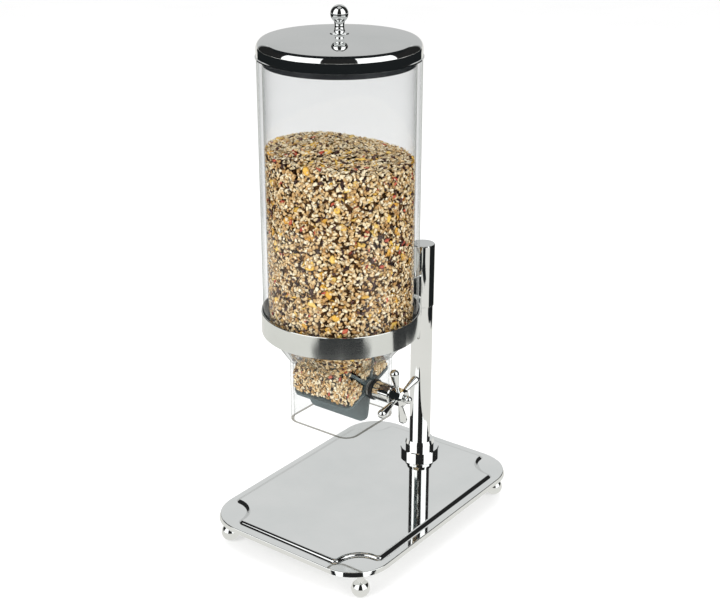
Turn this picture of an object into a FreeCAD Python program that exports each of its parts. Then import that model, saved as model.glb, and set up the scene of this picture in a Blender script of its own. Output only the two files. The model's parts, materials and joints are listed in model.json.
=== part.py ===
import FreeCAD, Part
import os
import re

import Sketcher

# Cereal dispenser: mirror-steel tray on ball feet, a column that carries a ring, a clear
# storage tube in the ring, a funnel and square chute under it, a soft metering wheel in the
# chute turned by a four-spoke knob, and a lid that lifts off.
# Origin on the floor under the middle of the tray. +X is the knob side, -Y the bowl side.

V = FreeCAD.Vector
doc = FreeCAD.newDocument("cereal_dispenser")

# ---------------------------------------------------------------- driving dimensions (mm)
SIZES = [
    # tray
    ("tray_half_x", 108.0), ("tray_half_y", 152.0), ("tray_corner", 45.0), ("sheet_gauge", 1.5),
    ("skirt_z", 29.5), ("rim_z", 34.0), ("panel_z", 37.0), ("panel_half_x", 98.2),
    ("panel_half_y", 140.7), ("scallop_r", 26.0), ("scallop_out", -5.5), ("shoulder_r", 6.0),
    ("rim_round", 0.8), ("rim_flare", 18.0), ("panel_slope", 40.0), ("panel_round", 3.8),
    ("slope_inset", "sheet_gauge * (1 / cos(panel_slope) - tan(panel_slope))"),
    ("shoulder_run", "sqrt((scallop_r + shoulder_r)^2 - (scallop_out + shoulder_r)^2)"),
    # feet
    ("foot_x", 89.0), ("foot_y", 128.8), ("ball_r", 9.66), ("ball_mid", 9.4), ("foot_neck", 4.0),
    ("foot_stud", 2.5), ("boss_r", 8.0), ("boss_z", 28.5),
    ("ball_flat", "sqrt(ball_r^2 - ball_mid^2)"),
    ("ball_top", "ball_mid + sqrt(ball_r^2 - foot_neck^2)"),
    # column
    ("column_y", 105.1), ("tube_r", 12.3), ("tube_bore", 10.8), ("flange_r", 22.5),
    ("flange_top", 44.5), ("collar_r", 17.0), ("collar_lip", 15.5), ("collar_top", 55.0),
    ("sleeve_r", 13.3), ("sleeve_bore", 12.34), ("sleeve_low", 224.0), ("sleeve_top", 292.4),
    ("cap_top", 296.4), ("cap_plug", 280.0), ("rod_r", 4.0), ("rod_low", 23.0),
    ("nut_r", 7.5), ("nut_low", 27.5), ("washer_r", 11.0), ("lock_z", 234.0), ("lock_r", 2.5),
    # ring and hopper
    ("hopper_y", -43.9), ("ring_r", 82.0), ("ring_in", 80.9), ("ring_low", 245.3),
    ("ring_top", 268.7), ("ledge_r", 77.2), ("ledge_gauge", 1.4), ("liner_in", 80.1),
    ("glass_r", 80.0), ("glass_bore", 74.7), ("glass_low", 252.7), ("glass_top", 527.0),
    ("arm_half", 6.5), ("arm_top", 264.0), ("arm_low_ring", 247.0), ("arm_low_sleeve", 231.0),
    # funnel and chute
    ("cone_r", 76.5), ("cone_bore", 73.6), ("chute_half", 42.5), ("chute_corner", 15.0),
    ("chute_wall", 3.0), ("shoulder_z", 211.5), ("seam_z", 203.7), ("mouth_z", 144.0),
    # metering wheel and knob
    ("wheel_z", 187.5), ("wheel_tilt", 50.0), ("vane_tip", 38.5), ("vane_half", 38.0),
    ("vane_gauge", 3.0), ("vane_corner", 9.0), ("core_bore", 4.0), ("core_r", 8.0),
    ("soft_r", 11.0), ("core_half", 37.5), ("shaft_r", 4.0), ("bush_in", 4.05), ("bush_out", 7.0),
    ("bush_inner", 39.0), ("bush_outer", 46.0), ("seal_in", 7.1), ("seal_out", 11.0),
    ("seal_outer", 45.6), ("barrel_start", 46.2), ("barrel_r", 9.6), ("hub_start", 66.5),
    ("hub_end", 82.0), ("hub_flat", 9.2), ("knob_lean", 15.5), ("spoke_x", 74.0),
    ("spoke_root", 2.0), ("spoke_end", 4.8), ("spoke_reach", 34.4), ("tip_neck", 2.6),
    ("tip_r", 4.2), ("tip_mid", 85.8), ("left_cap", 51.0), ("left_cap_r", 8.0),
    # lid
    ("lid_low", 527.2), ("lid_lip_r", 81.1), ("lid_lip_z", 528.6), ("lid_wall_r", 80.2),
    ("lid_wall_z", 536.0), ("lid_gauge", 1.0), ("lid_round", 10.0), ("dome_edge", 71.3),
    ("dome_edge_z", 545.9), ("dome_apex", 549.6), ("dome_curve", 640.0), ("lid_hole", 2.6),
    ("plug_r", 74.3), ("plug_bore", 70.0), ("plug_low", 520.4), ("plug_seat", 79.0),
    ("plug_top", 530.4), ("pull_base", 9.4), ("pull_collar", 5.6), ("pull_neck", 5.2),
    ("pull_ball", 8.7), ("pull_mid", 567.9), ("pull_bore", 562.0), ("lid_bolt", 2.5),
    ("pull_join", "pull_mid - sqrt(pull_ball^2 - pull_neck^2)"),
    ("bolt_head", 4.5), ("bolt_low", 544.7), ("bolt_seat", 547.3), ("lid_washer_r", 7.0),
]


def link(text):
    """Turn bare dimension names (always two or more words) into references to the sheet."""
    return re.sub(r"\b([a-z]+(?:_[a-z]+)+)\b", r"dims.\1", str(text))


sheet = doc.addObject("Spreadsheet::Sheet", "dims")
for row, (name, value) in enumerate(SIZES, start=1):
    sheet.set("A%d" % row, name)
    sheet.set("B%d" % row, str(value) if not isinstance(value, str) else "=" + value)
    sheet.setAlias("B%d" % row, name)
doc.recompute()

nodes = []


def new_body(label, base=("0", "0", "0"), turn=None):
    """A body placed from the sheet; turn is an angle about X."""
    body = doc.addObject("PartDesign::Body", label)
    body.Label = label
    for axis, text in zip("xyz", base):
        if text != "0":
            body.setExpression("Placement.Base.%s" % axis, link(text))
    if turn:
        body.Placement.Rotation = FreeCAD.Rotation(V(1, 0, 0), 1)
        body.setExpression("Placement.Rotation.Angle", link(turn))
    nodes.append(body)
    return body


def add_sketch(body, name, role, height=None):
    sketch = body.newObject("Sketcher::SketchObject", name)
    plane = next(f for f in body.Origin.OriginFeatures if f.Role == role)
    sketch.AttachmentSupport = [(plane, "")]
    sketch.MapMode = "FlatFace"
    if height:
        sketch.setExpression("AttachmentOffset.Base.z", link(height))
    return sketch


def pin(sketch, geo, end, point, texts):
    """Tie one end point of a sketch edge to two expressions."""
    for kind, line, number, text in (("DistanceX", -2, point.x, texts[0]),
                                     ("DistanceY", -1, point.y, texts[1])):
        if abs(number) < 1e-9:
            sketch.addConstraint(Sketcher.Constraint("PointOnObject", geo, end, line))
        else:
            index = sketch.addConstraint(Sketcher.Constraint(kind, geo, end, number))
            sketch.setExpression("Constraints[%d]" % index, link(text))


def trace(body, name, role, points, arcs=None, height=None):
    """Closed outline through the points. arcs[i] = (radius, side) bends the edge that leaves
    point i; side is +1 when it bulges left of the direction of travel and -1 when right."""
    arcs = arcs or {}
    sketch = add_sketch(body, name, role, height)
    spots = [V(float(sheet.evalExpression(link(x))), float(sheet.evalExpression(link(y))), 0)
             for x, y in points]
    starts, ends = [], []
    for i, start in enumerate(spots):
        end = spots[(i + 1) % len(spots)]
        if i in arcs:
            radius = float(sheet.evalExpression(link(arcs[i][0])))
            chord = end - start
            sag = radius - max(radius ** 2 - chord.Length ** 2 / 4, 0) ** 0.5
            left = V(-chord.y, chord.x, 0).normalize()
            middle = (start + end) / 2 + left * (sag * arcs[i][1])
            geo = sketch.addGeometry(Part.Arc(start, middle, end), False)
            forward = (sketch.getPoint(geo, 1) - start).Length < 1e-6
        else:
            geo = sketch.addGeometry(Part.LineSegment(start, end), False)
            forward = True
        starts.append((geo, 1 if forward else 2))
        ends.append((geo, 2 if forward else 1))
    for i in range(len(spots)):
        following = starts[(i + 1) % len(spots)]
        sketch.addConstraint(Sketcher.Constraint("Coincident", *ends[i], *following))
        pin(sketch, starts[i][0], starts[i][1], spots[i], points[i])
        if i in arcs:
            radius = float(sheet.evalExpression(link(arcs[i][0])))
            index = sketch.addConstraint(Sketcher.Constraint("Radius", starts[i][0], radius))
            sketch.setExpression("Constraints[%d]" % index, link(arcs[i][0]))
    return sketch


def ring_sketch(body, name, role, centre, radius, height=None):
    """One circle with its centre and radius tied to the sheet."""
    sketch = add_sketch(body, name, role, height)
    spot = V(*[float(sheet.evalExpression(link(text))) for text in centre], 0)
    size = float(sheet.evalExpression(link(radius)))
    sketch.addGeometry(Part.Circle(spot, V(0, 0, 1), size), False)
    pin(sketch, 0, 3, spot, centre)
    index = sketch.addConstraint(Sketcher.Constraint("Radius", 0, size))
    sketch.setExpression("Constraints[%d]" % index, link(radius))
    return sketch


def pad(body, sketch, length, reverse=False, middle=False):
    feature = body.newObject("PartDesign::Pad", sketch.Name + "_pad")
    feature.Profile = sketch
    feature.Reversed = reverse
    if middle:
        feature.SideType = "Symmetric"
    feature.setExpression("Length", link(length))
    doc.recompute()
    return feature


def pocket(body, sketch, length, reverse=False, middle=False):
    """Cut that must remove material, whichever side of the sketch it lies on."""
    before = body.Shape.Volume
    feature = body.newObject("PartDesign::Pocket", sketch.Name + "_cut")
    feature.Profile = sketch
    feature.Reversed = reverse
    if middle:
        feature.SideType = "Symmetric"
    feature.setExpression("Length", link(length))
    doc.recompute()
    assert body.Shape.Volume < before - 1e-3, sketch.Name
    return feature


def round_edges(body, name, radius, wanted):
    """Fillet the edges of the tip that pass the test."""
    tip = body.Tip
    names = ["Edge%d" % i for i, e in enumerate(tip.Shape.Edges, start=1) if wanted(e.BoundBox)]
    feature = body.newObject("PartDesign::Fillet", name)
    feature.Base = (tip, names)
    feature.setExpression("Radius", link(radius))
    doc.recompute()
    return feature


def flared(feature, angle):
    """Lean the walls of a pad or pocket inward by the angle as they rise."""
    feature.setExpression("TaperAngle", link("-" + angle))
    doc.recompute()


def turned(label, points, arcs=None, axis="V_Axis", base=("0", "0", "0"), turn=None):
    """Body of revolution from a half profile in XZ, about Z (V_Axis) or X (H_Axis)."""
    body = new_body(label, base, turn)
    sketch = trace(body, label + "_profile", "XZ_Plane", points, arcs)
    feature = body.newObject("PartDesign::Revolution", label + "_turn")
    feature.Profile = sketch
    feature.ReferenceAxis = (sketch, [axis])
    feature.Angle = 360
    doc.recompute()
    return body


def level(height):
    """Test for edges that lie flat at one height."""
    number = float(sheet.evalExpression(link(height)))
    return lambda box: abs(box.ZMin - number) < 1e-4 and abs(box.ZMax - number) < 1e-4


def on_panel(box):
    """Test for edges that belong to the raised panel and not to the rim around it."""
    reach_x = float(sheet.evalExpression(link("panel_half_x"))) + 1
    reach_y = float(sheet.evalExpression(link("panel_half_y"))) + 1
    return (max(abs(box.XMin), abs(box.XMax)) < reach_x and
            max(abs(box.YMin), abs(box.YMax)) < reach_y)


def rounded_outline(half_x, half_y, corner):
    """Rounded rectangle, counter-clockwise."""
    points = [(half_x, "-(%s - %s)" % (half_y, corner)), (half_x, "%s - %s" % (half_y, corner)),
              ("%s - %s" % (half_x, corner), half_y), ("-(%s - %s)" % (half_x, corner), half_y),
              ("-(%s)" % half_x, "%s - %s" % (half_y, corner)),
              ("-(%s)" % half_x, "-(%s - %s)" % (half_y, corner)),
              ("-(%s - %s)" % (half_x, corner), "-(%s)" % half_y),
              ("%s - %s" % (half_x, corner), "-(%s)" % half_y)]
    return points, {i: (corner, -1) for i in (1, 3, 5, 7)}


def scalloped_outline(inset):
    """Rectangle whose corners are scooped out, with small round shoulders."""
    share = "(shoulder_r - %s) / (scallop_r + shoulder_r)" % inset
    flat_x = "(panel_half_x + scallop_out - shoulder_run)"
    flat_y = "(panel_half_y + scallop_out - shoulder_run)"
    drop = "(shoulder_r - (scallop_out + shoulder_r) * %s)" % share
    along = "(shoulder_run * %s)" % share
    quarter = [("(panel_half_x - %s)" % inset, flat_y),
               ("(panel_half_x - %s)" % drop, "(%s + %s)" % (flat_y, along)),
               ("(%s + %s)" % (flat_x, along), "(panel_half_y - %s)" % drop),
               (flat_x, "(panel_half_y - %s)" % inset)]
    points = []
    for sign_x, sign_y in ((1, 1), (-1, 1), (-1, -1), (1, -1)):
        order = quarter if sign_x == sign_y else quarter[::-1]
        points += [("%d * %s" % (sign_x, x), "%d * %s" % (sign_y, y)) for x, y in order]
    arcs = {}
    for first in (0, 4, 8, 12):
        arcs[first] = ("shoulder_r - %s" % inset, -1)
        arcs[first + 1] = ("scallop_r + %s" % inset, 1)
        arcs[first + 2] = ("shoulder_r - %s" % inset, -1)
    return points, arcs


# ---------------------------------------------------------------- tray
tray = new_body("base_tray")
points, arcs = rounded_outline("tray_half_x", "tray_half_y", "tray_corner")
flared(pad(tray, trace(tray, "rim", "XY_Plane", points, arcs, "skirt_z"), "rim_z - skirt_z"),
       "rim_flare")
points, arcs = scalloped_outline("0")
flared(pad(tray, trace(tray, "panel", "XY_Plane", points, arcs, "rim_z"), "panel_z - rim_z"),
       "panel_slope")
at_panel, at_rim = level("panel_z"), level("rim_z")
round_edges(tray, "panel_edge", "panel_round", at_panel)
round_edges(tray, "panel_foot", "panel_round", lambda box: at_rim(box) and on_panel(box))
round_edges(tray, "rim_edge", "rim_round", lambda box: at_rim(box) and not on_panel(box))
inset_x, inset_y = "(tray_half_x - sheet_gauge)", "(tray_half_y - sheet_gauge)"
points, arcs = rounded_outline(inset_x, inset_y, "(tray_corner - sheet_gauge)")
flared(pocket(tray, trace(tray, "rim_hollow", "XY_Plane", points, arcs, "skirt_z"),
              "rim_z - sheet_gauge - skirt_z", reverse=True), "rim_flare")
points, arcs = scalloped_outline("slope_inset")
flared(pocket(tray, trace(tray, "panel_hollow", "XY_Plane", points, arcs,
                          "rim_z - sheet_gauge"), "panel_z - rim_z", reverse=True),
       "panel_slope")
pocket(tray, ring_sketch(tray, "rod_hole", "XY_Plane", ("0", "column_y"), "rod_r + 0.3",
                         "skirt_z"), "panel_z - skirt_z + 2", reverse=True)

# ---------------------------------------------------------------- feet and their bosses
FEET = (("left", "front", -1, -1), ("right", "front", 1, -1),
        ("left", "back", -1, 1), ("right", "back", 1, 1))
bosses = []
for side, end, sign_x, sign_y in FEET:
    spot = ("%d * foot_x" % sign_x, "%d * foot_y" % sign_y, "0")
    turned("foot_%s_%s" % (end, side),
           [("0", "0"), ("ball_flat", "0"), ("foot_neck", "ball_top"), ("foot_neck", "boss_z"),
            ("foot_stud", "boss_z"), ("foot_stud", "rim_z - sheet_gauge"),
            ("0", "rim_z - sheet_gauge")],
           {1: ("ball_r", -1)}, base=spot)
    parts = []
    for kind, radius in (("outer", "boss_r"), ("bore", "foot_stud")):
        drum = doc.addObject("Part::Cylinder", "boss_%s_%s_%s" % (kind, end, side))
        drum.setExpression("Radius", link(radius))
        drum.setExpression("Height", link("rim_z - sheet_gauge - boss_z"))
        for axis, text in zip("xyz", (spot[0], spot[1], "boss_z")):
            drum.setExpression("Placement.Base.%s" % axis, link(text))
        parts.append(drum)
    boss = doc.addObject("Part::Cut", "boss_%s_%s" % (end, side))
    boss.Base, boss.Tool = parts
    bosses.append(boss)
group = doc.addObject("Part::Compound", "foot_bosses")
group.Links = bosses
nodes.append(group)

# ---------------------------------------------------------------- column
on_column = ("0", "column_y", "0")


def column_part(label, points, arcs=None):
    return turned(label, points, arcs, base=on_column)


column_part("column_flange", [
    ("tube_r", "panel_z"), ("flange_r", "panel_z"), ("flange_r", "flange_top - 0.8"),
    ("flange_r - 0.8", "flange_top"), ("tube_r", "flange_top")])
column_part("column_collar", [
    ("tube_r", "flange_top"), ("collar_r", "flange_top"), ("collar_r", "collar_top - 4.5"),
    ("collar_lip", "collar_top"), ("tube_r", "collar_top")])
column_part("column_tube", [
    ("tube_bore", "panel_z"), ("tube_r", "panel_z"), ("tube_r", "sleeve_top"),
    ("tube_bore", "sleeve_top")])
column_part("sleeve_cap", [
    ("rod_r", "cap_plug"), ("tube_bore", "cap_plug"), ("tube_bore", "sleeve_top"),
    ("sleeve_r", "sleeve_top"), ("sleeve_r", "cap_top - 0.8"), ("sleeve_r - 0.8", "cap_top"),
    ("0", "cap_top"), ("0", "sleeve_top"), ("rod_r", "sleeve_top")])
column_part("column_rod", [
    ("0", "rod_low"), ("rod_r", "rod_low"), ("rod_r", "sleeve_top"), ("0", "sleeve_top")])
column_part("column_washer", [
    ("rod_r", "panel_z - sheet_gauge - 1.5"), ("washer_r", "panel_z - sheet_gauge - 1.5"),
    ("washer_r", "panel_z - sheet_gauge"), ("rod_r", "panel_z - sheet_gauge")])

nut = new_body("column_nut", on_column)
corners = [("%s * nut_r" % c, "%s * nut_r" % s) for c, s in
           (("1", "0"), ("0.5", "sqrt(0.75)"), ("-0.5", "sqrt(0.75)"), ("-1", "0"),
            ("-0.5", "-sqrt(0.75)"), ("0.5", "-sqrt(0.75)"))]
pad(nut, trace(nut, "nut_hex", "XY_Plane", corners, None, "nut_low"),
    "panel_z - sheet_gauge - 1.5 - nut_low")
pocket(nut, ring_sketch(nut, "nut_bore", "XY_Plane", ("0", "0"), "rod_r", "nut_low"),
       "panel_z - nut_low", reverse=True)

sleeve = column_part("holder_sleeve", [
    ("sleeve_bore", "sleeve_low"), ("sleeve_r - 0.4", "sleeve_low"),
    ("sleeve_r", "sleeve_low + 0.4"), ("sleeve_r", "sleeve_top"), ("sleeve_bore", "sleeve_top")])
pocket(sleeve, ring_sketch(sleeve, "lock_hole", "XZ_Plane", ("0", "lock_z"), "lock_r"),
       "sleeve_r + 5", reverse=False)

lock = doc.addObject("Part::Cylinder", "sleeve_screw")
lock.setExpression("Radius", "dims.lock_r")
lock.setExpression("Height", link("sleeve_r + 2 - tube_r - 0.1"))
lock.Placement = FreeCAD.Placement(V(0, 0, 0), FreeCAD.Rotation(V(1, 0, 0), -90))
lock.setExpression("Placement.Base.y", link("column_y + tube_r + 0.1"))
lock.setExpression("Placement.Base.z", "dims.lock_z")
nodes.append(lock)

# ---------------------------------------------------------------- ring, liner and bracket
on_axis = ("0", "hopper_y", "0")


def hopper_part(label, points, arcs=None):
    return turned(label, points, arcs, base=on_axis)


hopper_part("ring_collar", [
    ("ledge_r", "ring_low"), ("ring_r - 0.5", "ring_low"), ("ring_r", "ring_low + 0.5"),
    ("ring_r", "ring_top - 0.5"), ("ring_r - 0.4", "ring_top"), ("ring_in", "ring_top"),
    ("ring_in", "ring_low + ledge_gauge"), ("ledge_r", "ring_low + ledge_gauge")])
hopper_part("ring_liner", [
    ("liner_in", "ring_low + ledge_gauge"), ("ring_in", "ring_low + ledge_gauge"),
    ("ring_in", "ring_top - 0.5"), ("liner_in", "ring_top - 0.5")])

arm = new_body("ring_arm")
pad(arm, trace(arm, "arm_side", "YZ_Plane", [
    ("hopper_y + ring_r - 3", "arm_low_ring"), ("hopper_y + ring_r + 12", "arm_low_ring"),
    ("column_y - 8", "arm_low_sleeve"), ("column_y - 8", "arm_top"),
    ("hopper_y + ring_r - 3", "arm_top")], {1: ("60", 1)}), "2 * arm_half", middle=True)
round_edges(arm, "arm_edges", "2.5",
            lambda box: abs(abs(box.XMin) - 6.5) < 1e-4 and box.XLength < 1e-4 and
            box.YLength > 5)
for name, centre, radius in (("ring_seat", ("0", "hopper_y"), "ring_r"),
                             ("sleeve_seat", ("0", "column_y"), "sleeve_r")):
    pocket(arm, ring_sketch(arm, name, "XY_Plane", centre, radius, "arm_low_sleeve - 10"),
           "60", reverse=True)

# ---------------------------------------------------------------- storage tube
hopper_part("storage_tube", [
    ("glass_bore", "glass_low"), ("glass_r", "glass_low"), ("glass_r", "glass_top - 0.8"),
    ("glass_r - 0.8", "glass_top"), ("glass_bore + 0.8", "glass_top"),
    ("glass_bore", "glass_top - 0.8")])

# ---------------------------------------------------------------- funnel: round to square
funnel = new_body("funnel", on_axis)
flange_low = "(ring_low + ledge_gauge)"
pad(funnel, ring_sketch(funnel, "seat", "XY_Plane", ("0", "0"), "glass_r", flange_low),
    "glass_low - " + flange_low)
points, arcs = rounded_outline("chute_half", "chute_half", "chute_corner")
pad(funnel, trace(funnel, "neck", "XY_Plane", points, arcs, "seam_z"), "shoulder_z - seam_z + 0.2")


def loft(kind, name, top, bottom, top_z, bottom_z):
    """Ruled loft between two outlines with the same eight edges."""
    sections = [trace(funnel, name + "_top", "XY_Plane", *rounded_outline(*top), top_z),
                trace(funnel, name + "_low", "XY_Plane", *rounded_outline(*bottom), bottom_z)]
    feature = funnel.newObject("PartDesign::%sLoft" % kind, name)
    feature.Profile = sections[0]
    feature.Sections = [sections[1]]
    feature.Ruled = True
    doc.recompute()


inner_half, inner_corner = "(chute_half - chute_wall)", "(chute_corner - chute_wall)"
loft("Additive", "cone", ("cone_r", "cone_r", "(cone_r - 0.2)"),
     ("chute_half", "chute_half", "chute_corner"), flange_low + " + 0.1", "shoulder_z")
loft("Subtractive", "cone_hollow", ("cone_bore", "cone_bore", "(cone_bore - 0.2)"),
     (inner_half, inner_half, inner_corner), "glass_low", "shoulder_z")
points, arcs = rounded_outline(inner_half, inner_half, inner_corner)
pocket(funnel, trace(funnel, "neck_hollow", "XY_Plane", points, arcs, "seam_z"),
       "shoulder_z - seam_z", reverse=True)

# ---------------------------------------------------------------- chute
chute = new_body("chute", on_axis)
points, arcs = rounded_outline("chute_half", "chute_half", "chute_corner")
pad(chute, trace(chute, "box", "XY_Plane", points, arcs, "mouth_z"), "seam_z - mouth_z")
points, arcs = rounded_outline(inner_half, inner_half, inner_corner)
pocket(chute, trace(chute, "box_hollow", "XY_Plane", points, arcs, "mouth_z"),
       "seam_z - mouth_z", reverse=True)
pocket(chute, ring_sketch(chute, "bush_holes", "YZ_Plane", ("0", "wheel_z"), "bush_out"),
       "4 * chute_half", middle=True)

# ---------------------------------------------------------------- wheel, shaft and knob
on_wheel = ("0", "hopper_y", "wheel_z")


def axle_part(label, points, arcs=None, turn=None):
    return turned(label, points, arcs, "H_Axis", on_wheel, turn)


axle_part("bush_right", [
    ("bush_inner", "bush_in"), ("bush_outer", "bush_in"), ("bush_outer", "bush_out"),
    ("bush_inner", "bush_out")])
axle_part("bush_left", [
    ("-bush_outer", "bush_in"), ("-bush_inner", "bush_in"), ("-bush_inner", "bush_out"),
    ("-chute_half", "bush_out"), ("-chute_half", "seal_out"), ("-bush_outer", "seal_out")])
axle_part("wall_seal", [
    ("chute_half", "seal_in"), ("seal_outer", "seal_in"), ("seal_outer", "seal_out"),
    ("chute_half", "seal_out")])
axle_part("drive_shaft", [
    ("-left_cap + 2", "0"), ("hub_end", "0"), ("hub_end", "shaft_r"), ("-left_cap + 2", "shaft_r")])
axle_part("wheel_core", [
    ("-core_half", "core_bore"), ("core_half", "core_bore"), ("core_half", "core_r"),
    ("-core_half", "core_r")])

wheel = axle_part("vane_wheel", [
    ("-core_half", "core_r"), ("core_half", "core_r"), ("core_half", "soft_r"),
    ("-core_half", "soft_r")], turn="wheel_tilt")
vane = pad(wheel, trace(wheel, "vane_outline", "XZ_Plane", [
    ("-vane_half", "soft_r - 2"), ("vane_half", "soft_r - 2"),
    ("vane_half", "vane_tip - vane_corner"), ("vane_half - vane_corner", "vane_tip"),
    ("-vane_half + vane_corner", "vane_tip"), ("-vane_half", "vane_tip - vane_corner")],
    {2: ("vane_corner", -1), 4: ("vane_corner", -1)}), "vane_gauge", middle=True)
vanes = wheel.newObject("PartDesign::PolarPattern", "vanes")
vanes.Originals = [vane]
vanes.Axis = (next(f for f in wheel.Origin.OriginFeatures if f.Role == "X_Axis"), [""])
vanes.Angle = 360
vanes.Occurrences = 6
wheel.Tip = vanes
doc.recompute()

axle_part("shaft_end_cap", [
    ("-left_cap", "0"), ("-left_cap + 2", "0"), ("-left_cap + 2", "shaft_r"),
    ("-bush_outer - 0.3", "shaft_r"), ("-bush_outer - 0.3", "left_cap_r"),
    ("-left_cap + 1.5", "left_cap_r"), ("-left_cap", "left_cap_r - 1.5")])
axle_part("knob_barrel", [
    ("barrel_start", "shaft_r"), ("hub_start", "shaft_r"), ("hub_start", "barrel_r - 1"),
    ("hub_start - 1", "barrel_r"), ("barrel_start + 0.6", "barrel_r"),
    ("barrel_start", "barrel_r - 0.6")])
axle_part("knob_tip", [
    ("hub_end", "0"), ("tip_mid + tip_r", "0"),
    ("tip_mid - sqrt(tip_r^2 - tip_neck^2)", "tip_neck"), ("hub_end", "tip_neck")],
    {1: ("tip_r", -1)})

hub = new_body("knob_hub", on_wheel, "knob_lean")
flat, half_side = "hub_flat", "(hub_flat * tan(22.5 deg))"
octagon = [(flat, "-" + half_side), (flat, half_side), (half_side, flat), ("-" + half_side, flat),
           ("-" + flat, half_side), ("-" + flat, "-" + half_side), ("-" + half_side, "-" + flat),
           (half_side, "-" + flat)]
pad(hub, trace(hub, "hub_octagon", "YZ_Plane", octagon, None, "hub_start"), "hub_end - hub_start")
for name, face, inward in (("outer_bevel", "hub_end", "-"), ("inner_bevel", "hub_start", "+")):
    bevel = hub.newObject("PartDesign::Groove", name)
    profile = trace(hub, name + "_profile", "XZ_Plane", [
        (face, "hub_flat - 2"), ("%s %s 2.6" % (face, inward), "hub_flat + 1"),
        (face, "hub_flat + 1")])
    bevel.Profile = profile
    bevel.ReferenceAxis = (profile, ["H_Axis"])
    bevel.Angle = 360
    doc.recompute()
pocket(hub, ring_sketch(hub, "hub_bore", "YZ_Plane", ("0", "0"), "shaft_r", "hub_start"),
       "hub_end - hub_start", reverse=True)

for index, name in enumerate(("up", "front", "down", "back")):
    turned("knob_spoke_" + name,
           [("0", "hub_flat"), ("spoke_root", "hub_flat"),
            ("spoke_end - 0.3", "spoke_reach - spoke_end - 2"),
            ("spoke_end", "spoke_reach - spoke_end"), ("0", "spoke_reach")],
           {3: ("spoke_end", -1)}, base=("spoke_x", "hopper_y", "wheel_z"),
           turn="knob_lean + %d" % (90 * index))

# ---------------------------------------------------------------- lid
inner_wall = "(lid_wall_r - lid_gauge)"
hopper_part("lid_dome", [
    (inner_wall, "lid_low"), ("lid_lip_r", "lid_low"), ("lid_lip_r", "lid_lip_z"),
    ("lid_wall_r", "lid_lip_z + 0.5"), ("lid_wall_r", "lid_wall_z"),
    ("dome_edge", "dome_edge_z"), ("lid_hole", "dome_apex"),
    ("lid_hole", "dome_apex - lid_gauge"), ("dome_edge", "dome_edge_z - lid_gauge"),
    (inner_wall, "lid_wall_z")],
    {4: ("lid_round", -1), 5: ("dome_curve", -1), 7: ("dome_curve", 1),
     8: ("lid_round - lid_gauge", 1)})
hopper_part("lid_plug", [
    ("plug_bore", "plug_low"), ("plug_r - 0.5", "plug_low"), ("plug_r", "plug_low + 0.5"),
    ("plug_r", "lid_low"), ("plug_seat", "lid_low"), ("plug_seat", "plug_top"),
    ("plug_bore", "plug_top")])
hopper_part("lid_finial", [
    ("lid_bolt", "dome_apex"), ("pull_base", "dome_apex"), ("pull_base", "dome_apex + 0.7"),
    ("pull_collar", "dome_apex + 1.6"), ("pull_collar", "dome_apex + 3"),
    ("pull_neck", "dome_apex + 3.4"), ("pull_neck", "pull_join"),
    ("0", "pull_mid + pull_ball"), ("0", "pull_bore"), ("lid_bolt", "pull_bore")],
    {5: ("18", 1), 6: ("pull_ball", -1)})
hopper_part("lid_washer", [
    ("lid_bolt", "bolt_seat"), ("lid_washer_r", "bolt_seat"), ("lid_washer_r", "bolt_seat + 1.2"),
    ("lid_bolt", "bolt_seat + 1.2")])
hopper_part("lid_screw", [
    ("0", "bolt_low"), ("bolt_head", "bolt_low"), ("bolt_head", "bolt_seat"),
    ("lid_bolt", "bolt_seat"), ("lid_bolt", "pull_bore - 1"), ("0", "pull_bore - 1")])

# ---------------------------------------------------------------- check and export
doc.recompute()
for item in doc.Objects:
    assert not {"Invalid", "Error"} & set(item.State), item.Label
os.makedirs("parts", exist_ok=True)
for node in nodes:
    shape = node.Shape
    assert not shape.isNull() and shape.isValid(), node.Label
    print("%-20s solids %d volume %9.1f" % (node.Label, len(shape.Solids), shape.Volume))
    shape.exportStep("parts/%s.step" % node.Label)
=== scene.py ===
import json
import math

import bpy
import numpy as np
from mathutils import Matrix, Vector


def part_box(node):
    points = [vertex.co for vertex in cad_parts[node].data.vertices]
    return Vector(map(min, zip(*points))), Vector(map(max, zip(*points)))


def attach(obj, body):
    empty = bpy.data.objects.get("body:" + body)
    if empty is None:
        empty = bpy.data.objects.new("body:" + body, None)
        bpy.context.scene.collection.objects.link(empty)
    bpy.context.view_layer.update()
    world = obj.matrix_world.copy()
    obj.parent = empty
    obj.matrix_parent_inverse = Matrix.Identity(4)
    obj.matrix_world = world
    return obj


# Cereal dispenser. The frame gives every hard part; this script adds the finishes, the
# muesli inside, the studio and the camera. Metres, Z up, +X the knob side, -Y the front.

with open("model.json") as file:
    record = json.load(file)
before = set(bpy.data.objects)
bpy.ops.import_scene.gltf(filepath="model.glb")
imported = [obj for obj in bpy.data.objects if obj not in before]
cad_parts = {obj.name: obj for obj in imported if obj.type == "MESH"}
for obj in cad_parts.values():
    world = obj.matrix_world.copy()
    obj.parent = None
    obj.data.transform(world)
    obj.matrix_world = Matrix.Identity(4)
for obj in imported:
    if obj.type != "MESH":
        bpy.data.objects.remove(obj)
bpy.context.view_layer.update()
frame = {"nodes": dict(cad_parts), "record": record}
nodes = frame["nodes"]
rng = np.random.default_rng(20260)      # draws every grain's place, lean, size and tone
MM = 0.001

# ------------------------------------------------------------------ places read from the frame
tube_low, tube_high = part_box("storage_tube")
AXIS_Y = (tube_low.y + tube_high.y) / 2         # the hopper's upright axis, at X = 0
MOUTH_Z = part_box("chute")[0].z                  # lower edge of the chute
wheel_low, wheel_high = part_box("wheel_core")
WHEEL_Z = (wheel_low.z + wheel_high.z) / 2      # height of the shaft
hub_low, hub_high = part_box("knob_hub")
HUB = (np.array(hub_low) + np.array(hub_high)) / 2

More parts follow.
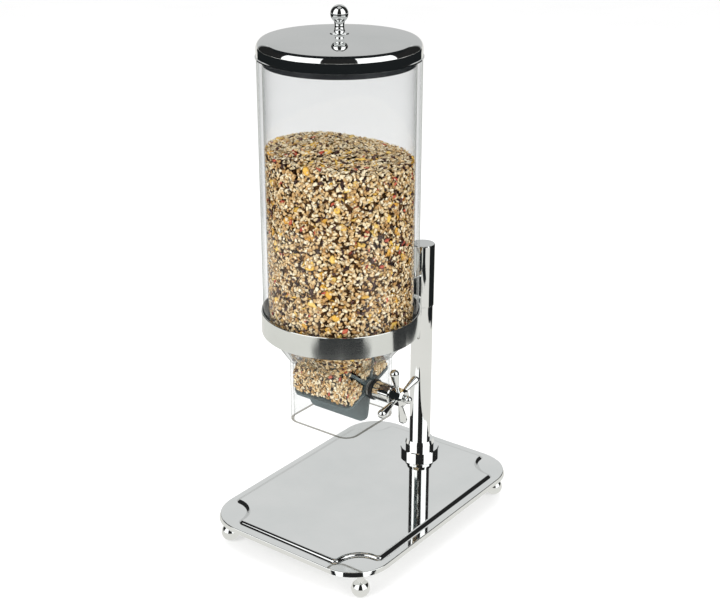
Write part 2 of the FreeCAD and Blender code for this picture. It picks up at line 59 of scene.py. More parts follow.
# ------------------------------------------------------------------ inner sizes of the hopper
BORE = 0.0747               # inner radius of the storage tube
CHUTE_IN = 0.0395           # inner half width of the square chute
SWEEP = 0.0385              # radius the wheel's vanes sweep
FUNNEL_TOP, FUNNEL_LOW = 0.2527, 0.2115
FUNNEL_BORE = 0.0736        # inner radius of the funnel's round upper end
FUNNEL_CORNER = 0.012       # inner corner radius of its square lower end
VANE_ANGLES = np.radians(50 + 60 * np.arange(6))    # from straight up towards the front


# ------------------------------------------------------------------ node and mesh helpers
def add_node(tree, kind, links=None, values=None, **props):
    """A shader node with its properties, its plain input values and its linked inputs."""
    made = tree.nodes.new("ShaderNode" + kind)
    for key, value in props.items():
        setattr(made, key, value)
    for key, value in (values or {}).items():
        made.inputs[key].default_value = value
    for key, socket in (links or {}).items():
        tree.links.new(socket, made.inputs[key])
    return made


class Shader:
    """A material's node tree with short calls for the nodes used here."""

    def __init__(self, name):
        self.material = bpy.data.materials.new(name)
        self.material.use_nodes = True
        self.tree = self.material.node_tree
        self.tree.nodes.clear()
        self.out = self.tree.nodes.new("ShaderNodeOutputMaterial")

    def node(self, kind, links=None, values=None, **props):
        return add_node(self.tree, kind, links, values, **props)

    def place(self, scale=(1, 1, 1)):
        """Object coordinates stretched by scale."""
        where = self.node("TexCoord").outputs["Object"]
        return self.node("Mapping", {"Vector": where}, {"Scale": scale}).outputs["Vector"]

    def noise(self, vector, scale, detail=3.0, rough=0.5):
        made = self.node("TexNoise", {"Vector": vector},
                         {"Scale": scale, "Detail": detail, "Roughness": rough})
        return made.outputs["Fac"]

    def math(self, operation, links, values=None):
        return self.node("Math", links, values, operation=operation).outputs[0]

    def mix(self, factor, first, colour):
        """From the first socket's colour to a plain colour."""
        return self.node("MixRGB", {"Fac": factor, "Color1": first},
                         {"Color2": (*colour, 1)}).outputs[0]

    def span(self, socket, low, high, start=0.35, end=0.65):
        """Map a pattern from start..end to low..high."""
        made = self.node("MapRange", {"Value": socket},
                         {"From Min": start, "From Max": end, "To Min": low, "To Max": high})
        return made.outputs["Result"]

    def ramp(self, socket, stops):
        made = self.node("ValToRGB", {"Fac": socket})
        ramp = made.color_ramp
        while len(ramp.elements) < len(stops):
            ramp.elements.new(0.5)
        for element, (at, colour) in zip(ramp.elements, stops):
            element.position = at
            element.color = (*colour, 1.0)
        return made.outputs["Color"]

    def bump(self, height, strength, distance):
        made = self.node("Bump", {"Height": height}, {"Strength": strength, "Distance": distance})
        return made.outputs["Normal"]

    def principled(self, links, **values):
        return self.node("BsdfPrincipled", links, values).outputs[0]

    def surface(self, socket):
        self.tree.links.new(socket, self.out.inputs["Surface"])
        return self.material


def mesh_object(name, points, faces, look):
    """A mesh with one material, as an object in the scene."""
    mesh = bpy.data.meshes.new(name)
    mesh.from_pydata(points, [], faces)
    mesh.materials.append(look)
    mesh.update()
    thing = bpy.data.objects.new(name, mesh)
    bpy.context.scene.collection.objects.link(thing)
    return thing


# ------------------------------------------------------------------ finishes
def mirror_steel():
    """Polished steel with a faint cloud in its tone and fine level wipe marks."""
    s = Shader("mirror_steel")
    where = s.place()
    cloud = s.noise(where, 18.0, 4.0)
    wipe = s.noise(s.place((60, 60, 420)), 3.0, 2.0)
    colour = s.ramp(cloud, [(0.3, (0.87, 0.885, 0.88)), (0.7, (0.93, 0.935, 0.93))])
    rough = s.span(s.noise(where, 140.0, 5.0), 0.018, 0.05)
    bump = s.bump(wipe, 0.012, 0.0002)
    return s.surface(s.principled({"Base Color": colour, "Roughness": rough, "Normal": bump},
                                  Metallic=1.0))


def brushed_steel(name, stretch, rough, colours, groove, metallic, anisotropy):
    """Fine parallel brush lines that run round the upright axis; stretch squeezes the
    pattern into lines, and rough is the roughness between and on them."""
    s = Shader(name)
    lines = s.noise(s.place(stretch), 6.0, 6.0, 0.75)
    cloud = s.noise(s.place(), 30.0, 3.0)
    worn = s.math("MULTIPLY", {0: lines, 1: cloud})
    colour = s.ramp(worn, [(0.12, colours[0]), (0.42, colours[1])])
    bump = s.bump(lines, groove, 0.0001)
    tangent = s.node("Tangent", direction_type="RADIAL", axis="Z").outputs[0]
    return s.surface(s.principled(
        {"Base Color": colour, "Roughness": s.span(lines, *rough), "Normal": bump,
         "Tangent": tangent}, Metallic=metallic, Anisotropic=anisotropy))


def moulded(name, dark, light, rough, grain, height):
    """Moulded rubber or plastic: a cloudy tone and a fine skin grain."""
    s = Shader(name)
    where = s.place()
    fine = s.noise(where, grain, 4.0)
    cloud = s.noise(where, 55.0, 3.0)
    colour = s.ramp(cloud, [(0.32, dark), (0.68, light)])
    bump = s.bump(fine, height, 0.0004)
    return s.surface(s.principled({
        "Base Color": colour, "Roughness": s.span(fine, rough - 0.08, rough + 0.08),
        "Normal": bump}))


def clear_wall(name, clear, edge, mouth_shade, shine):
    """Clear plastic wall, see-through with a gloss that grows at grazing angles. Its tint
    goes from clear to edge as the wall turns away, and the level faces at the mouth's lower rim
    take a darker colour, a painted shade along that rim."""
    s = Shader(name)
    where = s.place()
    facing = s.node("LayerWeight", None, {"Blend": 0.5}).outputs["Facing"]
    tint = s.ramp(facing, [(0.0, clear), (0.70, clear), (0.97, edge)])
    shape = s.node("NewGeometry")
    up = s.node("SeparateXYZ", {0: shape.outputs["Normal"]}).outputs[2]
    level = s.span(s.math("ABSOLUTE", {0: up}), 0.0, 1.0, 0.80, 0.97)
    height = s.node("SeparateXYZ", {0: shape.outputs["Position"]}).outputs[2]
    lowest = s.span(height, 1.0, 0.0, MOUTH_Z + 0.001, MOUTH_Z + 0.0015)
    # painted shade: the level faces at the mouth's lower rim take the darker colour
    tint = s.mix(s.math("MULTIPLY", {0: level, 1: lowest}), tint, mouth_shade)
    haze = s.span(s.noise(where, 40.0, 4.0), 0.01, 0.05)
    ripple = s.bump(s.noise(where, 14.0, 2.0), 0.05, 0.001)
    see = s.node("BsdfTransparent", {"Color": tint}).outputs[0]
    gloss = s.node("BsdfAnisotropic", {"Roughness": haze, "Normal": ripple},
                   {"Color": (0.7, 0.7, 0.7, 1)}).outputs[0]
    grazing = s.math("POWER", {0: facing}, {1: 5.0})
    share = s.span(grazing, shine, 0.85, 0.0, 1.0)
    return s.surface(s.node("MixShader", {0: share, 1: see, 2: gloss}).outputs[0])


RING = brushed_steel("brushed_ring_steel", stretch=(2, 2, 900), rough=(0.09, 0.12),
                     colours=((0.80, 0.82, 0.80), (0.86, 0.88, 0.86)), groove=0.01,
                     metallic=0.985, anisotropy=0.2)
PLAIN = brushed_steel("plain_turned_steel", stretch=(30, 300, 300), rough=(0.22, 0.40),
                      colours=((0.48, 0.49, 0.49), (0.66, 0.67, 0.67)), groove=0.1,
                      metallic=1.0, anisotropy=0.7)
BLACK = moulded("black_rubber", (0.012, 0.014, 0.016), (0.03, 0.033, 0.036), 0.42,
                grain=900.0, height=0.25)
GREY = moulded("grey_green_silicone", (0.085, 0.115, 0.12), (0.12, 0.155, 0.16), 0.5,
               grain=700.0, height=0.2)
WHITE = moulded("white_moulded_plastic", (0.66, 0.66, 0.63), (0.76, 0.76, 0.73), 0.4,
                grain=500.0, height=0.15)
CLEAR_TUBE = clear_wall("clear_tube_wall", clear=(0.958, 0.961, 0.961),
                        edge=(0.80, 0.83, 0.82), mouth_shade=(0.55, 0.60, 0.59), shine=0.035)
CLEAR_CHUTE = clear_wall("clear_chute_wall", clear=(0.960, 0.964, 0.962),
                         edge=(0.50, 0.53, 0.52), mouth_shade=(0.34, 0.33, 0.30), shine=0.04)

FINISH = {"polished_steel": mirror_steel(), "brushed_ring": RING, "plain_steel": PLAIN,
          "clear_plastic": CLEAR_CHUTE, "black_rubber": BLACK, "soft_wheel": GREY,
          "white_plastic": WHITE}
for part in frame["record"]["subparts"]:
    finish = CLEAR_TUBE if part["node"] == "storage_tube" else FINISH[part["material_slot"]]
    for slot in nodes[part["node"]].material_slots:
        slot.material = finish


# ------------------------------------------------------------------ muesli flakes
def flake_shader(name, stops, rim_colour, gloss, grain, depth):
    """Colour from each flake's own tone, darker at its rim, with a fine grain."""
    s = Shader(name)
    marks = s.node("Attribute", attribute_name="flake").outputs["Vector"]
    split = s.node("SeparateXYZ", {0: marks})
    tone, rim = split.outputs[0], split.outputs[1]
    fleck = s.noise(s.place(), grain, 3.0, 0.6)
    shade = s.mix(s.span(fleck, 0.0, 0.22, 0.35, 0.7), s.ramp(tone, stops), rim_colour)
    rimmed = s.mix(s.span(rim, 0.0, 0.4, 0.3, 1.0), shade, rim_colour)
    bump = s.bump(fleck, 0.5, depth)
    return s.surface(s.principled({"Base Color": rimmed, "Normal": bump}, Roughness=gloss))


OAT = flake_shader("rolled_oat", [
    (0.0, (0.46, 0.25, 0.08)), (0.25, (0.70, 0.46, 0.20)), (0.6, (0.88, 0.71, 0.42)),
    (1.0, (0.97, 0.90, 0.68))], (0.34, 0.15, 0.035), 0.6, 900.0, 0.0003)
RAISIN = flake_shader("raisin_skin", [
    (0.0, (0.035, 0.018, 0.016)), (1.0, (0.12, 0.055, 0.045))], (0.02, 0.012, 0.012), 0.42,
    700.0, 0.0008)
CORN = flake_shader("corn_flake", [
    (0.0, (0.72, 0.36, 0.05)), (0.5, (0.86, 0.54, 0.09)), (1.0, (0.92, 0.68, 0.20))],
    (0.60, 0.26, 0.03), 0.5, 600.0, 0.0006)
BERRY = flake_shader("dried_berry", [
    (0.0, (0.42, 0.05, 0.03)), (1.0, (0.68, 0.16, 0.08))], (0.22, 0.02, 0.02), 0.45,
    800.0, 0.0006)
LOOKS = {"oat": OAT, "raisin": RAISIN, "corn": CORN, "berry": BERRY}


def flake_form(seed, sides, length, width, thick, curl, jag, groove):
    """One flake about its own centre: a top with an inner ring, a rim and a base point.
    Length and width are half sizes, curl lifts opposite sides of the rim, jag makes it
    ragged and groove sinks the top. Returns points, triangles and how near each point is
    to the rim."""
    own = np.random.default_rng(seed)
    turn = np.arange(sides) * 2 * np.pi / sides + own.uniform(-0.15, 0.15, sides)
    reach = 1 + own.uniform(-jag, jag, sides)
    rim = np.stack([length * reach * np.cos(turn), width * reach * np.sin(turn),
                    curl * np.cos(2 * turn + own.uniform(0, 6)) +
                    own.uniform(-0.1, 0.1, sides) * thick], 1)
    inner = np.stack([rim[:, 0] * 0.58, rim[:, 1] * 0.58,
                      rim[:, 2] * 0.4 + thick * own.uniform(0.8, 1.1, sides)], 1)
    top = np.array([[0, 0, thick * (1 - groove)]])
    base = np.array([[0, 0, -thick * 0.8]])
    points = np.concatenate([top, inner, rim, base])
    faces = []
    for i in range(sides):
        j = (i + 1) % sides
        inner_i, inner_j, rim_i, rim_j = 1 + i, 1 + j, 1 + sides + i, 1 + sides + j
        faces += [(0, inner_i, inner_j), (inner_i, rim_i, rim_j), (inner_i, rim_j, inner_j),
                  (len(points) - 1, rim_j, rim_i)]
    near = np.concatenate([[0.0], np.full(sides, 0.15), np.ones(sides), [0.4]])
    return points, np.array(faces), near


FORMS = {
    "oat": [flake_form(seed, sides=6, length=2.55 * MM, width=1.75 * MM, thick=0.5 * MM,
                       curl=0.35 * MM, jag=0.2, groove=0.45) for seed in range(6)],
    "raisin": [flake_form(seed, sides=7, length=3.0 * MM, width=2.1 * MM, thick=1.4 * MM,
                          curl=0.4 * MM, jag=0.2, groove=0.3) for seed in range(20, 24)],
    "corn": [flake_form(seed, sides=9, length=4.9 * MM, width=4.0 * MM, thick=0.6 * MM,
                        curl=0.9 * MM, jag=0.2, groove=1.4) for seed in range(40, 44)],
    "berry": [flake_form(seed, sides=7, length=3.4 * MM, width=2.3 * MM, thick=1.0 * MM,
                         curl=0.8 * MM, jag=0.25, groove=0.2) for seed in range(60, 63)],
}
SHARES = {"oat": 0.889, "raisin": 0.064, "corn": 0.033, "berry": 0.014}


def scatter(spots, outward, tilt, tone_power=1.0):
    """Flakes at the spots, lying across the outward direction with a random tilt. A tone
    power below 1 makes them paler. Returns kind -> list of (points, faces, marks)."""
    count = len(spots)
    draw = rng.random(count)
    edges = np.cumsum(list(SHARES.values()))
    which = np.searchsorted(edges, draw * edges[-1])
    lean = rng.normal(0, tilt, (count, 3))
    axis = outward + lean
    axis /= np.linalg.norm(axis, axis=1, keepdims=True)
    side = np.cross(axis, rng.normal(0, 1, (count, 3)))
    side /= np.linalg.norm(side, axis=1, keepdims=True)
    third = np.cross(axis, side)
    size = rng.uniform(0.72, 1.18, count)
    tone = rng.random(count) ** tone_power
    made = {}
    for index, kind in enumerate(SHARES):
        mine = np.nonzero(which == index)[0]
        forms = FORMS[kind]
        pick = rng.integers(0, len(forms), len(mine))
        for number, (points, faces, near) in enumerate(forms):
            chosen = mine[pick == number]
            if not len(chosen):
                continue
            scaled = points[None] * size[chosen, None, None]
            spin = np.stack([side[chosen], third[chosen], axis[chosen]], 1)
            local = np.einsum("nij,njk->nik", scaled, spin)
            # a flake reaches out by its tilt, so it moves in by that much
            out = np.einsum("nij,nj->ni", local, outward[chosen]).max(1)
            placed = local + (spots[chosen] - outward[chosen] * out[:, None])[:, None]
            marks = np.stack([np.broadcast_to(tone[chosen, None], placed.shape[:2]),
                              np.broadcast_to(near[None], placed.shape[:2]),
                              np.zeros(placed.shape[:2])], 2)
            made.setdefault(kind, []).append((placed, faces, marks))
    return made


def merge(*batches):
    whole = {}
    for batch in batches:
        for kind, groups in batch.items():
            whole.setdefault(kind, []).extend(groups)
    return whole


def build_flakes(name, groups, look, body):
    """One mesh object out of many flakes."""
    points, faces, marks, base = [], [], [], 0
    for placed, shape, mark in groups:
        count, size = placed.shape[:2]
        points.append(placed.reshape(-1, 3))
        marks.append(mark.reshape(-1, 3))
        faces.append((shape[None] + base + size * np.arange(count)[:, None, None]).reshape(-1, 3))
        base += count * size
    points, faces, marks = map(np.concatenate, (points, faces, marks))
    thing = mesh_object(name, points.tolist(), faces.tolist(), look)
    layer = thing.data.attributes.new("flake", "FLOAT_VECTOR", "POINT")
    layer.data.foreach_set("vector", marks.astype(np.float32).ravel())
    thing.data.polygons.foreach_set("use_smooth", np.ones(len(faces), bool))
    thing.data.update()
    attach(thing, body)


# ------------------------------------------------------------------ where the muesli lies
HEAP_X, HEAP_Y = -0.0176, AXIS_Y - 0.0132       # the heap's peak, off the hopper's axis
HEAP_AWAY = (0, .015, .030, .045, .060, .075, .096, .130)
HEAP_HEIGHT = (.4475, .447, .4455, .4415, .4365, .4315, .4265, .422)
HEAP_CEILING = 0.452                            # above the highest grain
PILE_ANGLES = VANE_ANGLES[4] - 2 * np.pi, VANE_ANGLES[1]    # the wheel's upper pockets


def ring_points(angle, radius, height):
    """Points round the hopper's axis."""
    return np.stack([radius * np.cos(angle), AXIS_Y + radius * np.sin(angle), height], 1)


def inset(count, gap, layer):
    """Distances in from a wall: gap at least, crowded near it and up to layer behind."""
    return gap + rng.uniform(0, 1, count) ** 1.5 * layer


def heap(x, y):
    """Height of the muesli's top inside the tube."""
    return np.interp(np.hypot(x - HEAP_X, y - HEAP_Y), HEAP_AWAY, HEAP_HEIGHT)


def off_wheel(spot, margin):
    """True for the spots that stay clear of the circle swept by the vanes."""
    return np.hypot(spot[:, 1] - AXIS_Y, spot[:, 2] - WHEEL_Z) > SWEEP + margin


def without_corn(made):
    """The large flakes would not clear the wheel or the walls."""
    made.pop("corn", None)
    return made


def on_tube(count):
    """The grains against the tube's wall."""
    angle = rng.uniform(0, 2 * np.pi, count)
    radius = BORE - inset(count, 0.0002, 0.0035)
    spot = ring_points(angle, radius, rng.uniform(FUNNEL_TOP - 0.001, HEAP_CEILING, count))
    keep = spot[:, 2] < heap(spot[:, 0], spot[:, 1]) - 0.001
    outward = np.stack([np.cos(angle), np.sin(angle), np.zeros(count)], 1)
    return scatter(spot[keep], outward[keep], 0.42)


def on_heap(count):
    """The grains on top, evenly over the circle and paler than the others: painted light, as if
    the top were lit more from above.
    """
    angle = rng.uniform(0, 2 * np.pi, count)
    radius = np.sqrt(rng.random(count)) * (BORE - 0.004)
    spot = ring_points(angle, radius, np.zeros(count))
    spot[:, 2] = heap(spot[:, 0], spot[:, 1]) + rng.uniform(-0.0035, 0.0012, count)
    outward = np.tile([0.0, 0.0, 1.0], (count, 1))
    # the low tone power paints these grains paler, painted light on the heap's top
    return scatter(spot, outward, 0.38, tone_power=0.45)


def funnel_section(height, angle, inward):
    """Radius inside the funnel at a height and angle: round above, square with rounded
    corners below."""
    share = np.clip((height - FUNNEL_LOW) / (FUNNEL_TOP - FUNNEL_LOW), 0, 1)
    square = CHUTE_IN / np.maximum(np.abs(np.cos(angle)), np.abs(np.sin(angle)))
    limit = (CHUTE_IN - FUNNEL_CORNER) * math.sqrt(2) + FUNNEL_CORNER
    square = np.minimum(square, limit)
    return square * (1 - share) + FUNNEL_BORE * share - inward


def in_funnel(count):
    """The grains against the funnel's wall, which leans outward as it rises."""
    wall_out, wall_down = 0.77, -0.64
    angle = rng.uniform(0, 2 * np.pi, count)
    height = FUNNEL_LOW + (FUNNEL_TOP - FUNNEL_LOW) * np.sqrt(rng.uniform(0.0, 1, count))
    radius = funnel_section(height, angle, inset(count, 0.0009, 0.004))
    outward = np.stack([np.cos(angle) * wall_out, np.sin(angle) * wall_out,
                        np.full(count, wall_down)], 1)
    spot = ring_points(angle, radius, height)
    keep = off_wheel(spot, 0.0075)
    return scatter(spot[keep], outward[keep], 0.4)


def in_chute(count):
    """Grains held between the chute's walls and the circle that the vanes sweep."""
    side = rng.integers(0, 4, count)
    along = rng.uniform(-1, 1, count) * (CHUTE_IN - 0.004)
    inward = CHUTE_IN - inset(count, 0.0004, 0.006)
    height = rng.uniform(WHEEL_Z + 0.008, FUNNEL_LOW + 0.004, count)
    turn = side * np.pi / 2
    outward = np.stack([np.cos(turn), np.sin(turn), np.zeros(count)], 1)
    across = np.stack([-np.sin(turn), np.cos(turn), np.zeros(count)], 1)
    local = outward * inward[:, None] + across * along[:, None]
    local[:, 2] = height - WHEEL_Z
    spot = local + [0, AXIS_Y, WHEEL_Z]
    keep = off_wheel(spot - outward * 0.0020, 0.0058)
    return without_corn(scatter(spot[keep], outward[keep], 0.2))


def above_wheel(count):
    """A floor of grains over the wheel, so that the heap has an underside."""
    clearance, flatness = 0.0075, 0.94
    across = rng.uniform(-1, 1, count) * (SWEEP - 0.002)
    height = np.sqrt((SWEEP + clearance) ** 2 - across ** 2 * flatness)
    spot = np.stack([rng.uniform(-1, 1, count) * (CHUTE_IN - 0.004), AXIS_Y + across,
                     WHEEL_Z + height + rng.uniform(0, 0.003, count)], 1)
    outward = np.stack([np.zeros(count), across / SWEEP, height / SWEEP], 1)
    outward /= np.linalg.norm(outward, axis=1, keepdims=True)
    return without_corn(scatter(spot, outward, 0.2))


def in_pockets(count):
    """Grains that ride in the wheel's upper pockets, clear of the chute's walls: a shell
    under the vanes' circle and the two ends."""
    half_shell, half_wheel, vane_gap = 0.0335, 0.0388, 0.0042
    angle = rng.uniform(*PILE_ANGLES, count)
    shell = rng.random(count) < 0.45
    radius = np.where(shell, SWEEP - inset(count, 0.0012, 0.004),
                      rng.uniform(0.016, SWEEP - 0.0050, count))
    across = np.where(shell, rng.uniform(-1, 1, count) * half_shell,
                      rng.choice([-1, 1], count) * (half_wheel - inset(count, 0.0, 0.004)))
    from_vanes = (angle[:, None] - VANE_ANGLES[None] + np.pi) % (2 * np.pi) - np.pi
    keep = np.abs(from_vanes).min(1) * radius > vane_gap
    spin = np.stack([np.zeros(count), -np.sin(angle), np.cos(angle)], 1)
    spot = spin * radius[:, None]
    spot[:, 0] = across
    outward = np.where(shell[:, None], spin,
                       np.sign(across)[:, None] * np.array([[1.0, 0, 0]]))
    return without_corn(scatter(spot[keep] + [0, AXIS_Y, WHEEL_Z], outward[keep], 0.25))


def lathe_core(name, profile, look, body, sides=64):
    """A dark filling behind the grains, painted shade for the muesli's shaded inside: slightly
    wavy rings round the hopper's axis, given as (radius, height) from the bottom."""
    angle = np.arange(sides) * 2 * np.pi / sides
    points, faces = [], []
    for radius, height in profile:
        wave = 1 + 0.012 * np.sin(5 * angle + height * 300)
        points += ring_points(angle, radius * wave, np.full(sides, height)).tolist()
    for row in range(len(profile) - 1):
        for i in range(sides):
            a, b = row * sides + i, row * sides + (i + 1) % sides
            faces.append((a, b, b + sides, a + sides))
    faces.append(list(range(sides))[::-1])
    faces.append([(len(profile) - 1) * sides + i for i in range(sides)])
    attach(mesh_object(name, points, faces, look), body)


batches = {
    "tube": on_tube(15500),
    "top": on_heap(3600),
    "funnel": merge(in_funnel(3900), in_chute(4600), above_wheel(900)),
}
for area, batch in batches.items():
    for kind, groups in batch.items():
        # the oats are many, so they are shared between two meshes
        half = (len(groups) + 1) // 2 if kind == "oat" else len(groups)
        for number, share in enumerate((groups[:half], groups[half:]), start=1):
            if share:
                build_flakes("muesli_%s_%s_%d" % (area, kind, number), share, LOOKS[kind],
                             "stand")
for kind, groups in in_pockets(4800).items():
    build_flakes("muesli_wheel_%s" % kind, groups, LOOKS[kind], "metering_wheel")

# painted shade: a dark brown filling that stands for the shade deep inside the muesli
CORE_SHADE = moulded("muesli_painted_shade", (0.05, 0.022, 0.006), (0.14, 0.065, 0.018), 0.9,
               grain=260.0, height=0.8)
lathe_core("muesli_shade_core", [(0.036, 0.2315), (0.050, 0.2375), (0.0695, 0.2535), (0.0702, 0.30),
                           (0.0700, 0.40), (0.0690, 0.4185), (0.052, 0.4215)],
           CORE_SHADE, "stand")


# ------------------------------------------------------------------ studio: floor
def glow_node(shader, colour, strength):
    return shader.node("Emission", None, {"Color": (*colour, 1), "Strength": strength}).outputs[0]


def card_look(name, colour):
    """A card of a plain colour that no light changes."""
    s = Shader(name)
    return s.surface(glow_node(s, colour, 1.0))


def floor_paper():
    """Pale paper, lifted a little by its own glow, and a plain tone in reflections."""
    s = Shader("floor_paper")
    speck = s.noise(s.place(), 3.0, 2.0)
    tone = s.ramp(speck, [(0.3, (0.60, 0.60, 0.60)), (0.7, (0.62, 0.62, 0.62))])
    paper = s.principled({"Base Color": tone}, Roughness=0.9)
    seen = s.node("AddShader", {0: paper, 1: glow_node(s, (1, 1, 1), 0.36)}).outputs[0]
    mirrored = glow_node(s, (0.76, 0.755, 0.72), 1.0)
    ray = s.node("LightPath").outputs["Is Glossy Ray"]
    return s.surface(s.node("MixShader", {0: ray, 1: seen, 2: mirrored}).outputs[0])


def flat_piece(name, points, look):
    """One flat face of the studio."""
    thing = mesh_object(name, [tuple(p) for p in points], [list(range(len(points)))], look)
    return thing


FLOOR_HALF = 14
flat_piece("floor", [(FLOOR_HALF * x, FLOOR_HALF * y, 0)
                     for x, y in ((-1, -1), (1, -1), (1, 1), (-1, 1))], floor_paper())

# ------------------------------------------------------------------ studio: cards
AZIMUTH = math.radians(36.98)       # of the camera, from -Y towards +X
toward = np.array([math.sin(AZIMUTH), -math.cos(AZIMUTH), 0.0])
rightward = np.array([math.cos(AZIMUTH), math.sin(AZIMUTH), 0.0])
FLAG = card_look("black_flag", (0.012, 0.014, 0.015))
PALE = card_look("pale_card", (0.530, 0.538, 0.535))


def reflections_only(card):
    card.visible_camera = False
    card.visible_diffuse = False
    card.visible_transmission = False
    card.visible_shadow = False
    card.visible_volume_scatter = False


def flag(name, centre, corners):
    """A black card just over the floor that only reflections see. Corners are
    (degrees right of the camera's direction, distance) about the centre."""
    over_floor = np.array([0, 0, 0.0015])
    spots = []
    for degrees, reach in corners:
        a = math.radians(degrees)
        way = toward * math.cos(a) + rightward * math.sin(a)
        spots.append(np.array(centre) + way * reach + over_floor)
    reflections_only(flat_piece(name, spots, FLAG))


hopper = (0.0, AXIS_Y, 0.0)
column = (0.0, 0.105, 0.0)
flag("flag_front", hopper, [(-41.5, 0.645), (-29, 0.70), (-28, 6.0), (28, 6.0), (30, 0.70),
                            (43, 0.645), (0, 0.60)])
flag("flag_left", hopper, [(-95, 1.2), (-150, 1.2), (-150, 9.0), (-95, 9.0)])
flag("flag_right", column, [(62, 0.53), (66, 6.0), (150, 6.0), (138, 0.50), (95, 0.50)])
arc = range(-150, 151, 10)
flag("flag_far", hopper, [(degrees, 12.0) for degrees in reversed(arc)] +
     [(degrees, 1.15) for degrees in arc])


def lid_card(name, inner, outer, half_turn, look):
    """A curved card that hangs level over the lid's shoulder, seen only by reflections. It
    reaches half_turn degrees to each side of the camera's direction."""
    height, steps = 0.566, 72
    angle = AZIMUTH - np.pi / 2 + np.radians(np.linspace(-half_turn, half_turn, steps + 1))
    rings = [ring_points(angle, radius, np.full(steps + 1, height)) for radius in (inner, outer)]
    card = mesh_object(name, np.concatenate(rings).tolist(),
                       [(i, i + 1, steps + 2 + i, steps + 1 + i) for i in range(steps)], look)
    reflections_only(card)


lid_card("lid_card_pale", 0.030, 0.085, 180, PALE)
lid_card("lid_card_black", 0.085, 0.106, 72, FLAG)


def knob_card(away, half_wide, half_tall):
    """A small black card where the hub's camera-side facet looks."""
    look_way = np.array([-0.516, -0.756, 0.402])
    across_way = np.array([0.826, -0.564, 0.0])
    up_way = np.cross(across_way, look_way)
    reflections_only(flat_piece("knob_card", [
        HUB + look_way * away + across_way * (half_wide * u) + up_way * (half_tall * v)
        for u, v in ((-1, -1), (1, -1), (1, 1), (-1, 1))], FLAG))


knob_card(away=0.045, half_wide=0.013, half_tall=0.010)

# ------------------------------------------------------------------ studio: surroundings
world = bpy.data.worlds.new("studio")
bpy.context.scene.world = world
world.use_nodes = True
world.node_tree.nodes.clear()


def w_node(kind, links=None, values=None, **props):
    return add_node(world.node_tree, kind, links, values, **props)


def w_math(operation, *terms):
    """A math node whose terms are sockets or plain numbers."""
    made = w_node("Math", operation=operation)
    for index, term in enumerate(terms):
        if isinstance(term, (int, float)):
            made.inputs[index].default_value = term
        else:
            world.node_tree.links.new(term, made.inputs[index])
    return made.outputs[0]


def w_step(value, low, high):
    """0 below low, 1 above high, straight between."""
    made = w_node("MapRange", {"Value": value}, {"From Min": low, "From Max": high})
    return made.outputs["Result"]


def w_band(value, low, high, soft):
    """1 between low and high, 0 outside, with edges soft degrees to each side."""
    return w_math("MULTIPLY", w_step(value, low - soft, low + soft),
                  w_math("SUBTRACT", 1.0, w_step(value, high - soft, high + soft)))


# degrees from the camera's direction, 0 at the camera and 180 behind the object, and degrees
# above the horizon
direction = w_node("TexCoord").outputs["Generated"]
from_camera = w_node("VectorRotate", {"Vector": direction}, {"Angle": -AZIMUTH},
                     rotation_type="Z_AXIS").outputs[0]
axes = w_node("SeparateXYZ", {0: from_camera})
ahead = w_math("MULTIPLY", axes.outputs[1], -1.0)
spread = w_math("ABSOLUTE", w_math("DEGREES", w_math("ARCTAN2", axes.outputs[0], ahead)))
rise = w_math("DEGREES", w_math("ARCSINE", axes.outputs[2]))

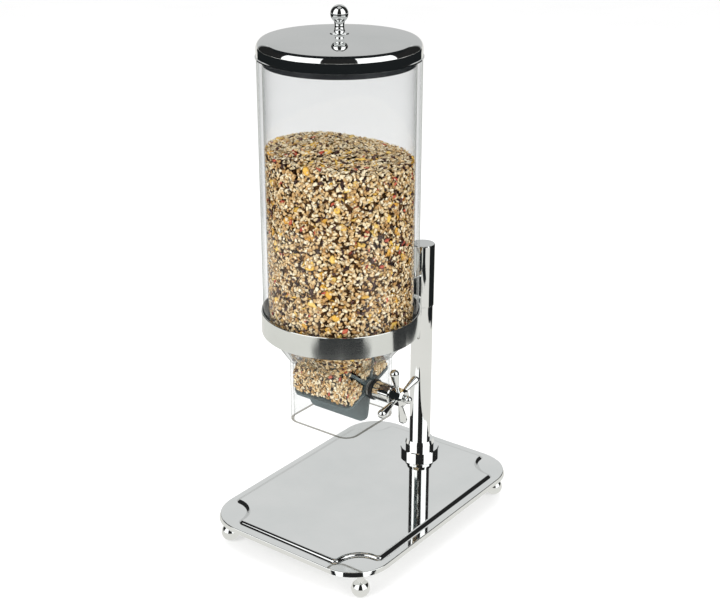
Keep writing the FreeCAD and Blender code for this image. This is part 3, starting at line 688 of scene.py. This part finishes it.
# what glossy surfaces see: a light to each side, a backdrop and a ceiling over near black
BOX_LIGHT, BACKDROP, BACKDROP_TOP, CEILING, DARK = 1.35, 0.515, 0.14, 0.50, 0.018
box_light = w_math("MULTIPLY", w_band(spread, 25, 84, 0.8), w_band(rise, -20, 60, 1.2))
backdrop = w_math("MULTIPLY", w_step(spread, 143, 150),
                  w_math("SUBTRACT", 1.0, w_step(rise, 46, 56)))
backdrop_glow = w_math("ADD", BACKDROP, w_math("MULTIPLY", w_step(rise, 24, 28), BACKDROP_TOP))
ceiling = w_math("MULTIPLY", w_step(rise, 68, 74), CEILING)
around = w_math("ADD", w_math("MULTIPLY", box_light, BOX_LIGHT),
                w_math("MULTIPLY", backdrop, backdrop_glow))
sky = w_math("ADD", around, w_math("ADD", ceiling, DARK))
sky_colour = w_node("CombineColor", {"Red": sky, "Green": w_math("MULTIPLY", sky, 1.015),
                                     "Blue": w_math("MULTIPLY", sky, 1.01)}).outputs[0]
glossy = w_node("Background", {"Color": sky_colour}, {"Strength": 1.0}).outputs[0]
plain = w_node("Background", None, {"Color": (1, 1, 1, 1), "Strength": 1.0}).outputs[0]
ray = w_node("LightPath").outputs["Is Glossy Ray"]
w_node("OutputWorld", {"Surface": w_node("MixShader", {0: ray, 1: plain, 2: glossy}).outputs[0]})


def softbox(name, place, size, power):
    """A soft light that no reflection shows, aimed at the middle of the object."""
    data = bpy.data.lights.new(name, "AREA")
    data.shape = "RECTANGLE"
    data.size, data.size_y = size
    data.energy = power
    lamp = bpy.data.objects.new(name, data)
    bpy.context.scene.collection.objects.link(lamp)
    lamp.location = place
    middle = Vector((0.0, -0.02, 0.28))
    lamp.rotation_euler = (middle - Vector(place)).to_track_quat("-Z", "Y").to_euler()
    lamp.visible_camera = False
    lamp.visible_glossy = False


softbox("softbox_left", Vector(toward * 1.1 - rightward * 1.5) + Vector((0, 0, 1.1)),
        (1.0, 1.4), 26.0)
softbox("softbox_right", Vector(toward * 1.2 + rightward * 1.4) + Vector((0, 0, 1.0)),
        (1.0, 1.4), 22.0)
softbox("softbox_top", (0.1, -0.1, 2.2), (1.6, 1.6), 16.0)

# ------------------------------------------------------------------ camera
camera_data = bpy.data.cameras.new("camera")
camera_data.lens = 65.23
camera_data.sensor_width = 36.0
camera_data.sensor_fit = "HORIZONTAL"
camera_data.clip_end = 50.0
camera = bpy.data.objects.new("camera", camera_data)
bpy.context.scene.collection.objects.link(camera)
camera.location = (0.7646, -1.0270, 0.7750)
aim = Vector((-0.00556, -0.00409, 0.2622))
camera.rotation_euler = (aim - camera.location).to_track_quat("-Z", "Y").to_euler()
bpy.context.scene.camera = camera
bpy.context.scene.view_settings.view_transform = "Standard"
